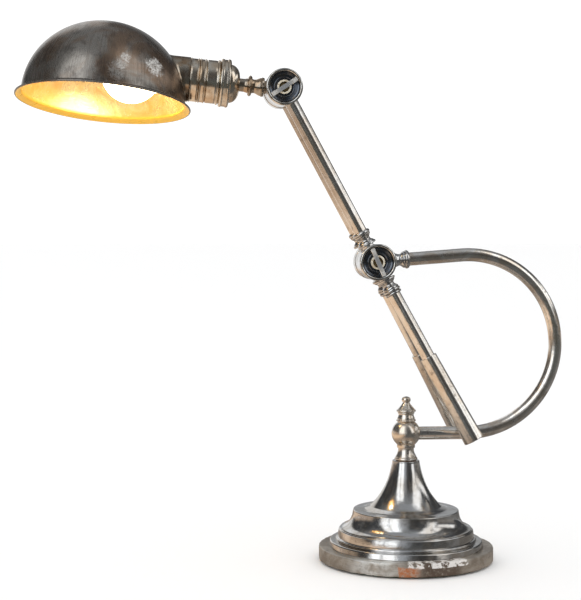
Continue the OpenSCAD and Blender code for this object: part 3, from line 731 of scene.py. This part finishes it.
def stem():
    """The turned neck with its ball, and the finial."""
    z = CONE_TOP + 0.3
    band = BALL_Z - math.sqrt(BALL_R**2 - 8.0**2)
    cove = [(7.4 + 2.4 * (1 - i / 12) ** 2, z + 3.6 + 7.4 * i / 12) for i in range(13)]
    neck = [(STUD_R, z), (9.4, z), *arc(9.4, z + 1.5, 1.5, -80, 90, 10), (9.9, z + 3.1), (9.9, z + 3.4, 0.1)]
    neck += cove + [(7.4, z + 11.4), (8.4, z + 11.8, 0.3), (8.6, band - 0.2, 0.3)]
    start = math.degrees(math.atan2(band - BALL_Z, 8.2))
    neck += arc(0, BALL_Z, BALL_R, start, 72, 28) + [(STUD_R - 1, BALL_Z + 12.9), (STUD_R - 1, z + 12)]
    piece(lathe("neck_and_ball", neck, segments=112), "bow", "nickel", STEM_NICKEL, "neck_ball")

    z = BALL_Z + 11.3
    foot = [(4, z - 1.5), (8.2, z - 0.2, 0.2), *arc(8.4, z + 0.9, 0.9, -70, 90, 8), (8.3, z + 2.0, 0.1)]
    waist = ease(8.3, z + 2.2, 7.1, z + 6.8, 10) + [(7.2, z + 7.2), (7.9, z + 7.4, 0.2), (7.9, z + 8.4, 0.2)]
    waist += [(7.5, z + 8.7), (7.7, z + 9.0)] + arc(8.3, z + 10, 0.95, -60, 80, 10)
    spire = [(3.6 + 4.9 * (1 - i / 10) ** 1.15, z + 11.1 + 6.0 * i / 10) for i in range(11)]
    button = [(3.2, z + 17.6, 0.2), (3.2, z + 18.3, 0.2), (3.9, z + 18.7, 0.3), (4.3, z + 20.2, 0.8)]
    button += [(4.0, z + 21.8, 0.8), (2.9, z + 22.9, 0.8), (1.4, z + 23.4), (0, z + 23.5)]
    finial = lathe("turned_finial", [(0, z - 1.5)] + foot + waist + spire + button, segments=80)
    piece(finial, "bow", "nickel", STEM_NICKEL, "finial")


def neck_outline(flare, waist=5.5):
    """A knuckle's turned neck, from inside the knuckle out to its collar."""
    points = [(0, 12), (waist, 12), (waist, 17.8), (flare - 0.9, 18.0)]
    points += [(flare, 18.5, 0.4), (flare - 0.1, 19.9, 0.7)]
    points += ease(flare - 1.0, 20.3, waist, 23.6, 10) + ease(waist, 24.0, RING_R - 0.6, RING_S - 0.3, 8)
    return points + [(RING_R - 0.6, RING_S), (0, RING_S)]


def collar_outline(radius, low, high):
    """A turned ring that carries on from the neck, with a quirk above it."""
    half = (high - low) / 2
    points = [(TUBE_R + 0.05, low), (RING_R - 0.7, low, 0.1)]
    points += arc(radius - half, low + half, half, -75, 75, 10)
    return points + [(TUBE_R + 0.7, high, 0.2), (TUBE_R + 0.05, high)]


def knuckle_outline(radius, low, high):
    return [(0, low), (radius, low, 0.7), (radius, high, 0.7), (0, high)]


def bow():
    """The bent tube from the stem to the elbow, its collar and the elbow's centre knuckle."""
    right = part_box("bow_tube")[1].x / MM - TUBE_R
    radius = (height("bow_tube") - height("bow_tube", top=False)) / 2 - TUBE_R
    centre = Vector((right - radius, 0, RUN_Z + radius))
    to_elbow = ELBOW / MM - centre
    end = math.atan2(to_elbow.z, to_elbow.x) - math.acos(radius / to_elbow.length)
    steps = 72
    angles = [-math.pi / 2 + (end + math.pi / 2) * i / steps for i in range(steps + 1)]
    bend = [centre + Vector((math.cos(a), 0, math.sin(a))) * radius for a in angles]
    out_of_elbow = (bend[-1] - ELBOW / MM).normalized()
    start = [Vector((x, 0, RUN_Z)) for x in (9.6, 12, 30, 50)]
    finish = [ELBOW / MM + out_of_elbow * s for s in (75, 60, 45, RING_S + 0.4)]
    tube = sweep("bow_bent_tube", start + bend + finish, TUBE_R, TUBE_BORE)
    piece(tube, "bow", "nickel", BOW_NICKEL, "bow_tube")

    at_run = place(ELBOW, out_of_elbow, FRONT)
    collar = collar_outline(8.7, RING_S - 0.2, RING_END + 1)
    piece(lathe("bow_end_collar", collar, at_run, 72), "bow", "nickel", NICKEL, "bow_collar")
    disc = lathe("disc", knuckle_outline(CENTRE_R, -CENTRE_HALF, CENTRE_HALF), AT_ELBOW_FRONT, 96)
    neck = lathe("neck", neck_outline(7.4), at_run, 72)
    piece(fuse("bow_end_knuckle", disc, neck), "bow", "nickel", NICKEL, "elbow_centre_knuckle")


# ---- arm

ARM_Y = (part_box("upper_tube_rear")[0].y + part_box("upper_tube_rear")[1].y) / 2
SPLAY = math.radians(5.5)
SPLAY_S = 20.0
WEIGHT_END = 189.0
WEIGHT_LEN = 88.5
KNUCKLE_IN = -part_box("head_front_knuckle")[1].y / MM
KNUCKLE_OUT = -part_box("head_front_knuckle")[0].y / MM
KNUCKLE_R = 16.8


def on_upper(side):
    return place(ELBOW + Y_AXIS * side * ARM_Y, UP_ARM, FRONT)


def on_lower(side):
    down = (-UP_ARM * math.cos(SPLAY) + Y_AXIS * side * math.sin(SPLAY)).normalized()
    knee = ELBOW - UP_ARM * SPLAY_S * MM + Y_AXIS * side * ARM_Y
    return place(knee - down * SPLAY_S * MM, down, FRONT)


def tube_outline(low, high):
    return [(TUBE_BORE, low), (TUBE_R, low, 0.15), (TUBE_R, high, 0.15), (TUBE_BORE, high)]


def knuckle_span(side):
    """Along the axis that faces the viewer, the near and far faces of the knuckle on a side."""
    return (KNUCKLE_IN, KNUCKLE_OUT) if side < 0 else (-KNUCKLE_OUT, -KNUCKLE_IN)


def arm_half(side, word):
    """The tubes, knuckles, collars and counterweight on one side of the bow."""
    upper, lower = on_upper(side), on_lower(side)
    tube = tube_outline(RING_S + 0.4, ARM_LEN - 13.6)
    piece(lathe("upper_arm_" + word, tube, upper, 64), "arm", "nickel", TUBE_NICKEL, "upper_tube_" + word)
    tube = tube_outline(RING_S + 0.4, WEIGHT_END - 10)
    piece(lathe("lower_arm_" + word, tube, lower, 64), "arm", "nickel", TUBE_NICKEL, "lower_tube_" + word)

    disc = lathe("disc", knuckle_outline(KNUCKLE_R, *knuckle_span(side)), AT_ELBOW_FRONT, 112)
    necks = [lathe("neck", neck_outline(9.0), matrix, 72) for matrix in (upper, lower)]
    piece(fuse("elbow_knuckle_" + word, disc, *necks), "arm", "nickel", NICKEL, f"elbow_{word}_knuckle")
    disc = lathe("head_knuckle_" + word, knuckle_outline(KNUCKLE_R, *knuckle_span(side)), AT_HEAD_FRONT, 112)
    piece(disc, "arm", "nickel", NICKEL, f"head_{word}_knuckle")

    rings = [lathe("ring", collar_outline(RING_R, RING_S - 0.2, RING_END), upper, 72)]
    rings.append(lathe("ring", collar_outline(RING_R, RING_S - 0.2, RING_END - 0.4), lower, 72))
    rings.append(lathe("ring", collar_outline(RING_R - 0.3, RING_END - 0.5, RING_END + 2.2), lower, 72))
    piece(fuse("arm_collars_" + word, *rings), "arm", "nickel", NICKEL, "collars_" + word)

    low = WEIGHT_END - WEIGHT_LEN
    weight = [(TUBE_R + 0.05, low), (7.9, low, 0.4), (9.5, WEIGHT_END, 0.5), (0, WEIGHT_END)]
    weight += [(0, WEIGHT_END - 9.9), (TUBE_R + 0.05, WEIGHT_END - 9.9)]
    sleeve = lathe("counterweight_sleeve_" + word, weight, lower, 72)
    piece(sleeve, "arm", "nickel", TUBE_NICKEL, "counterweight_" + word)


def rear_cap(name, matrix, node):
    y = -KNUCKLE_OUT
    cap = [(0, y), (15.2, y, 0.2), (15.2, y - 1.2, 0.7)]
    cap += [(12.4, y - 1.7, 0.3), (11.8, y - 2.0, 0.3), (0, y - 2.6)]
    piece(lathe(name, cap, matrix, 96), "arm", "nickel", NICKEL, node)


# ---- clamp knobs

KNOB_FACE = -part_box("head_knob_cup")[1].y / MM
KNOB_R = 17.0
KNOB_DEEP = 5.7
BAR_LEN = 2 * KNOB_R - 6.4
BAR_W = 4.0
BAR_T = 1.8


def knob_outline():
    """A dished cup: a rolled rim, a quirk, a turned dish and a tubular boss."""
    z = KNOB_FACE
    rim = [(4.05, z), (KNOB_R - 0.2, z, 0.6), (KNOB_R, z + 2, 0.2), (KNOB_R, z + 4.3)]
    rim += arc(KNOB_R - 1.4, z + KNOB_DEEP - 1.4, 1.4, 5, 165, 14)
    rim += [(14.1, z + 4.0, 0.3), (13.8, z + 4.3, 0.2)]
    dish = [(13.4, z + 3.2, 0.3), (12.0, z + 2.7, 0.4), (11.6, z + 2.2, 0.2), (9.6, z + 1.7, 0.5)]
    dish += [(9.2, z + 1.9, 0.2), (8.4, z + 1.4, 0.3), (6.7, z + 1.5, 0.3)]
    boss = [(6.5, z + 3.6, 0.5), (4.7, z + 3.7, 0.4), (4.05, z + 2.6)]
    return rim + dish + boss


def bar(name, matrix, turn):
    """The flat bar across a knob, rounded to the rim at its ends and bevelled along its edges."""
    outline = []
    for end in (0, math.pi):
        for i in range(9):
            y = BAR_W * (i / 8 - 0.5)
            x = math.sqrt((BAR_LEN / 2) ** 2 - y * y)
            c, s = math.cos(end), math.sin(end)
            outline.append((x * c - y * s, x * s + y * c))
    top = KNOB_FACE + KNOB_DEEP - 0.1
    levels = ((top - BAR_T, 0.3), (top - BAR_T + 0.3, 0.0), (top - 0.45, 0.0), (top, 0.45))
    rings = []
    for z, inset in levels:
        share_x, share_y = 1 - 2 * inset / BAR_LEN, 1 - 2 * inset / BAR_W
        rings.append([(x * share_x, y * share_y, z) for x, y in outline])
    rings = [[(0, 0, levels[0][0])]] + rings + [[(0, 0, levels[-1][0])]]
    spin = Matrix.Rotation(math.radians(turn), 4, "Z")
    return from_rings(name, rings, matrix @ spin, False, angle=20)


def knob(word, matrix, turn):
    body = word + "_knob"
    dish = lathe(word + "_dish", knob_outline(), matrix, 112)
    piece(dish, body, "knob_nickel", KNOB_NICKEL_PAINTED_LIGHT, body + "_cup")
    piece(bar(word + "_crossbar", matrix, turn), body, "nickel", BAR_NICKEL, body + "_bar")


# ---- lampholder

FLANGE_S = 49.0
FLANGE_END = 58.6
RING_A = 71.4
RING_B = 77.9
BODY_END = 86.6
BODY_R = 20.2
SHELL_R = 16.5


def spigot():
    """The head's centre knuckle and the turned piece that holds the lampholder."""
    points = [(0, 12), (6, 12), (6, 16.8), (8.7, 17.2, 0.5), (9.0, 19.4, 0.5)]
    points += ease(8.4, 20.0, 6.3, 26.4, 10) + [(6.6, 28.2), (8.8, 28.7, 0.2)]
    points += arc(8.5, 30.3, 1.2, -70, 70, 8) + [(8.7, 31.9, 0.1), (7.1, 32.3, 0.2)]
    points += ease(6.7, 32.8, 6.05, 36, 6) + [(6.05, 42), (0, 42)]
    disc = lathe("disc", knuckle_outline(CENTRE_R, -CENTRE_HALF, CENTRE_HALF), AT_HEAD_FRONT, 96)
    neck = lathe("neck", points, AT_HOLDER, 80)
    piece(fuse("spigot", disc, neck), "head", "aged_brass", SPIGOT_BRASS, "head_spigot")


def lampholder():
    """The domed cap, the double-beaded flange, the screw barrel and the two shade rings."""
    r = BODY_R
    bends = [math.pi * i / 28 for i in range(15)]
    dome = [(6.6 + 11.1 * math.sin(t), FLANGE_S - 9 * math.cos(t)) for t in bends]
    cap = [(6.15, 40)] + dome + [(18.6, 49.1), (18.6, 53), (17.4, 53)]
    cap += [(16.2, 49), (12, 43.4), (6.15, 41.5)]
    piece(lathe("holder_dome", cap, AT_HOLDER, 96), "head", "aged_brass", BRASS, "holder_cap")
    edge = 22.3
    flange = [(18.65, FLANGE_S), (edge - 1.2, FLANGE_S, 0.4)]
    flange += arc(edge - 1.5, 50.7, 1.5, -70, 0, 8) + [(edge, 51.8, 0.3)]
    flange += [(edge - 0.6, 52.4, 0.3), (edge - 0.6, 55.3, 0.3), (edge, 55.9, 0.3)]
    flange += arc(edge - 1.5, 57.0, 1.5, 0, 75, 8) + [(18.65, FLANGE_END)]
    piece(lathe("holder_rim", flange, AT_HOLDER, 128), "head", "aged_brass", BRASS, "holder_flange")
    body = [(SHELL_R - 0.9, 53.2), (18.4, 53.2), (18.4, FLANGE_END), (r - 0.9, FLANGE_END, 0.2)]
    body += arc(r - 0.5, 60.2, 1.1, -75, 75, 10)
    body += [(r - 0.4, 61.6, 0.2), (r - 0.25, 63, 0.4), (r - 0.25, 70.4, 0.5)]
    body += [(r - 1.1, RING_A, 0.2), (SHELL_R, RING_A), (SHELL_R, 94, 0.3), (SHELL_R - 0.9, 94, 0.2)]
    piece(lathe("holder_barrel", body, AT_HOLDER, 128), "head", "aged_brass", BRASS, "holder_body")
    for word, low, high in (("rear", RING_A + 0.05, RING_B), ("front", RING_B + 0.05, BODY_END)):
        ring = [(SHELL_R + 0.05, low), (r - 0.7, low, 0.2), *arc(r - 0.55, low + 1.0, 0.75, -60, 60, 6)]
        ring += [(r - 0.35, low + 1.9, 0.2), (r - 0.35, high - 1.9, 0.2)]
        ring += arc(r - 0.55, high - 1.0, 0.75, -60, 60, 6) + [(r - 0.7, high, 0.2), (SHELL_R + 0.05, high)]
        name = "gallery_ring_" + word
        piece(lathe(name, ring, AT_HOLDER, 128), "head", "aged_brass", BRASS, "shade_ring_" + word)


def bulb():
    """The opal globe, hollow, from its cap outwards."""
    cap_end, globe_s, globe_r, join = 92.0, 140.0, 27.5, 35.0
    start = cap_end + 1.5
    wide = globe_r * math.sin(math.radians(join))
    reach = globe_s - globe_r * math.cos(math.radians(join)) - start
    flare = [(14.2 + (wide - 14.2) * (i / 12) ** 1.7, start + reach * i / 12) for i in range(13)]
    outer = [(12.8, cap_end)] + flare + arc(0, globe_s, globe_r, join - 87, 90, 32)
    inner = arc(0, globe_s, globe_r - 0.9, 90, join - 87, 24) + [(r - 0.9, z + 0.2) for r, z in flare[::-2]]
    globe = lathe("opal_globe", outer + inner + [(11.9, cap_end)], AT_HOLDER, 96)
    piece(globe, "head", "opal_glass", OPAL, "bulb_globe")


# ---- shade

SHADE_TURN = math.radians(8)
DOME_S = 163.2
DOME_DROP = -26.7
DOME_R = 75.0
DOME_H = 71.0
DOME_T = 1.0
LIP_R = 80.6
LIP_DROP = 2.4
LIP_ROLL = 0.9
NECK_S = 86.7
NECK_R = 20.6
NECK_BORE = 19.5
NECK_HOLE = 16.9
NECK_FLOOR = NECK_S + 1.2
AT_SHADE = AT_HOLDER @ Matrix.Rotation(SHADE_TURN, 4, "Z")
TO_DOME = Matrix.Translation(Vector((DOME_DROP, 0, DOME_S)) * MM)
AT_DOME = AT_SHADE @ TO_DOME @ Matrix.Rotation(math.pi / 2, 4, "Y")


def oval(inset, start, end, n=56):
    """The dome's outline between two angles, from its rim at 0 to its pole at 90 degrees."""
    angles = [math.radians(start + (end - start) * i / n) for i in range(n + 1)]
    return [((DOME_R - inset) * math.cos(t), (DOME_H - inset) * math.sin(t)) for t in angles]


def gild_inside(obj):
    """The faces on the hollow side, out to the rolled edge, take the second material."""
    below = Vector((0, 0, -0.03))
    for face in obj.data.polygons:
        reach = Vector(face.center[:2]).length / MM
        if reach < LIP_R - 1.5 * LIP_ROLL and face.normal.dot(below - face.center) > 0:
            face.material_index = 1


def shade():
    """The spun dome with its rolled lip, and the side neck that meets it."""
    edge = LIP_R - LIP_ROLL
    shares = [i / 8 for i in range(1, 9)]
    outer_flare = [(DOME_R + (edge - DOME_R) * t**1.6, -LIP_DROP * t) for t in shares]
    inner_flare = [(r - DOME_T - 0.2, z - DOME_T * t) for (r, z), t in zip(outer_flare, shares)]
    roll = arc(edge, -LIP_DROP - LIP_ROLL, LIP_ROLL, 80, -160, 16)
    outline = oval(0, 90, 0) + outer_flare + roll + inner_flare[::-1] + oval(DOME_T, 0, 90)
    shell = lathe("shade_shell", outline, AT_DOME, 192)
    cutter = lathe("cutter", [(0, 60), (NECK_BORE, 60), (NECK_BORE, 133), (0, 133)], AT_SHADE, 96)
    boolean(shell, cutter, "DIFFERENCE")
    set_grain(shell.data)
    smooth(shell.data, 30)
    piece(shell, "shade", "shade_bronze", (BRONZE, GILT), "shade_dome", "shade_lip")
    gild_inside(shell)

    def seam(radius, t):
        """How far along the holder the neck's wall runs before it meets the dome."""
        high = (radius * math.cos(t) - DOME_DROP) / (DOME_H - 0.1)
        wide = radius * math.sin(t) / (DOME_R - 0.1)
        return DOME_S - (DOME_R - 0.1) * math.sqrt(1 - high * high - wide * wide)

    segments = 128
    angles = [2 * math.pi * i / segments for i in range(segments)]

    def ring(radius, start, share=0.0):
        """A ring of the neck, a share of the way from start to where its wall meets the dome."""
        points = []
        for t in angles:
            along = start + (seam(radius, t) - start) * share
            points.append((radius * math.cos(t), radius * math.sin(t), along))
        return points

    rings = [ring(NECK_R, NECK_S, share) for share in (0, 0.03, 0.4, 0.8)]
    rings += [ring(NECK_R + 0.3, NECK_S, 0.93), ring(NECK_R + 1.0, NECK_S, 1)]
    rings += [ring(NECK_BORE, NECK_FLOOR, share) for share in (1.0, 0.5, 0.0)]
    rings += [ring(NECK_HOLE, NECK_FLOOR), ring(NECK_HOLE, NECK_S)]
    neck = from_rings("shade_side_neck", rings, AT_SHADE, True)
    piece(neck, "shade", "shade_bronze", NECK_BRONZE, "shade_neck")


base()
stem()
bow()
for side, word in ((-1, "front"), (1, "rear")):
    arm_half(side, word)
rear_cap("elbow_back_cap", AT_ELBOW_FRONT, "elbow_rear_cap")
rear_cap("head_back_cap", AT_HEAD_FRONT, "head_rear_cap")
knob("elbow", AT_ELBOW_FRONT, -66)
knob("head", AT_HEAD_FRONT, 33)
spigot()
lampholder()
bulb()
shade()


# ---- studio


SOFTBOX = (1.4, 1.4, 1.4)
# What polished metal sees round the room: azimuths, then elevations, in degrees, how soft the edges
# are, and the colour. Azimuth 0 is the viewer's side and 90 is +X. Later ones cover earlier ones.
STUDIO = (
    ((-40, -6), (-8, 52), 9, (0.42, 0.44, 0.47)),  # the wall beside the window
    ((-64, -24), (-8, 60), 4, (1.7, 1.74, 1.78)),  # the window
    ((-47, -44), (-8, 60), 1, (0.35, 0.36, 0.38)),  # its bar
    ((60, 112), (-30, 9), 4, (0.26, 0.24, 0.22)),  # a dark corner on the right
    ((62, 114), (16, 27), 4, SOFTBOX),
    ((34, 78), (30, 66), 5, SOFTBOX),
    ((38, 58), (7, 46), 4, SOFTBOX),
    ((-200, -154), (-8, 50), 4, (0.9, 0.9, 0.9)),  # the backdrop behind the lamp
    ((157, 200), (-8, 28), 4, (0.38, 0.39, 0.4)),  # its darker end
)


def world():
    """Polished metal sees the studio: a dim room, paler overhead, with the lights above and a tan wall
    low on the left. All else sees plain white."""
    m = Nodes(bpy.data.worlds.new("studio"))
    bpy.context.scene.world = m.owner
    towards = m.add("TexCoord").outputs["Generated"]
    split = m.add("SeparateXYZ", {0: towards}).outputs
    azimuth = m.math("DEGREES", m.math("ARCTAN2", split[0], m.times(split[1], -1.0)))
    elevation = m.math("DEGREES", m.math("ARCSINE", split[2]))
    clutter = m.noise(m.scaled(towards, (7, 7, 3)), 1.0, 4.0, 0.6, 0.8)
    room = m.mix(m.ramp(clutter, 0.5, 0.68), (0.05, 0.052, 0.056), (0.15, 0.14, 0.13))
    room = m.mix(m.ramp(elevation, 30, 75), room, (0.33, 0.345, 0.365))
    tan = m.mix(m.ramp(clutter, 0.42, 0.62), (0.55, 0.43, 0.33), (0.22, 0.17, 0.14))
    for azimuths, elevations, soft, colour in (((-145, -84), (-30, 6), 4, tan), *STUDIO):
        mask = m.times(m.window(azimuth, *azimuths, soft), m.window(elevation, *elevations, soft))
        room = m.mix(mask, room, colour)
    glossy = m.add("LightPath").outputs["Is Glossy Ray"]
    m.set(Color=m.mix(glossy, (1.12, 1.12, 1.12), room), Strength=1.0)


def floor():
    """White paper. Polished metal sees it as a table instead: brown, grey to the right, warm where the
    lamp lights it on the left, dark towards the viewer, and white far behind the lamp."""
    mesh = bpy.data.meshes.new("floor")
    half = 40.0
    corners = [(-half, -half, 0), (half, -half, 0), (half, half, 0), (-half, half, 0)]
    mesh.from_pydata(corners, [], [(0, 1, 2, 3)])
    obj = new_object("floor", mesh, Matrix.Translation((0, 0, -0.0002)))
    m = Nodes(bpy.data.materials.new("floor_paper"))
    m.set(Base_Color=(0.95, 0.95, 0.95, 1), Roughness=0.8)
    here = m.add("TexCoord").outputs["Object"]
    split = m.add("SeparateXYZ", {0: here}).outputs
    grain = m.noise(m.scaled(here, (14, 2.5, 1)), 1.0, 4.0, 0.6)
    near = m.mix(m.ramp(grain, 0.35, 0.7), (0.44, 0.37, 0.31), (0.28, 0.23, 0.195))
    grey = m.mix(m.ramp(grain, 0.35, 0.6), (0.30, 0.29, 0.28), (0.12, 0.115, 0.11))
    near = m.mix(m.ramp(split[0], 0.09, 0.15), near, grey)
    near = m.mix(m.ramp(split[1], -0.14, -0.24), near, (0.11, 0.11, 0.11))
    # Painted light: lit is a painted pool of the lamp's warm light on the table, and far is the table painted
    # dimmer beyond it.
    lit = m.mix(m.ramp(grain, 0.35, 0.7), (1.06, 0.83, 0.63), (0.76, 0.57, 0.42))
    table = m.mix(m.ramp(split[0], -0.12, -0.26), near, lit)
    far = m.mix(m.ramp(grain, 0.38, 0.62), (0.78, 0.60, 0.46), (0.24, 0.18, 0.14))
    table = m.mix(m.ramp(split[0], -0.45, -0.75), table, far)
    edge = m.math("ADD", split[1], m.times(grain, 0.5))
    seen = m.mix(m.ramp(edge, -0.46, -0.56), table, (0.09, 0.095, 0.09))
    seen = m.mix(m.ramp(split[1], 1.7, 2.5), seen, (0.95, 0.95, 0.95))
    emission = m.add("Emission", {"Color": seen})
    glossy = m.add("LightPath").outputs["Is Glossy Ray"]
    mixed = m.add("MixShader", {0: glossy, 1: m.shader.outputs[0], 2: emission.outputs[0]})
    m.put(m.tree.nodes["Material Output"].inputs["Surface"], mixed.outputs[0])
    paint(obj, m.owner)


def camera():
    """A long lens on the viewer's side, a little to the left of the lamp and level with its middle."""
    data = bpy.data.cameras.new("camera")
    data.lens = 88.8
    data.sensor_width = 36.0
    obj = bpy.data.objects.new("camera", data)
    bpy.context.scene.collection.objects.link(obj)
    yaw = math.radians(5.5)
    pitch = math.radians(2.6)
    obj.location = (-0.2426, -1.3779, 0.3102)
    obj.rotation_euler = (math.pi / 2 - pitch, 0, -yaw)
    bpy.context.scene.camera = obj


world()
floor()
camera()
bpy.context.scene.view_settings.view_transform = "Standard"
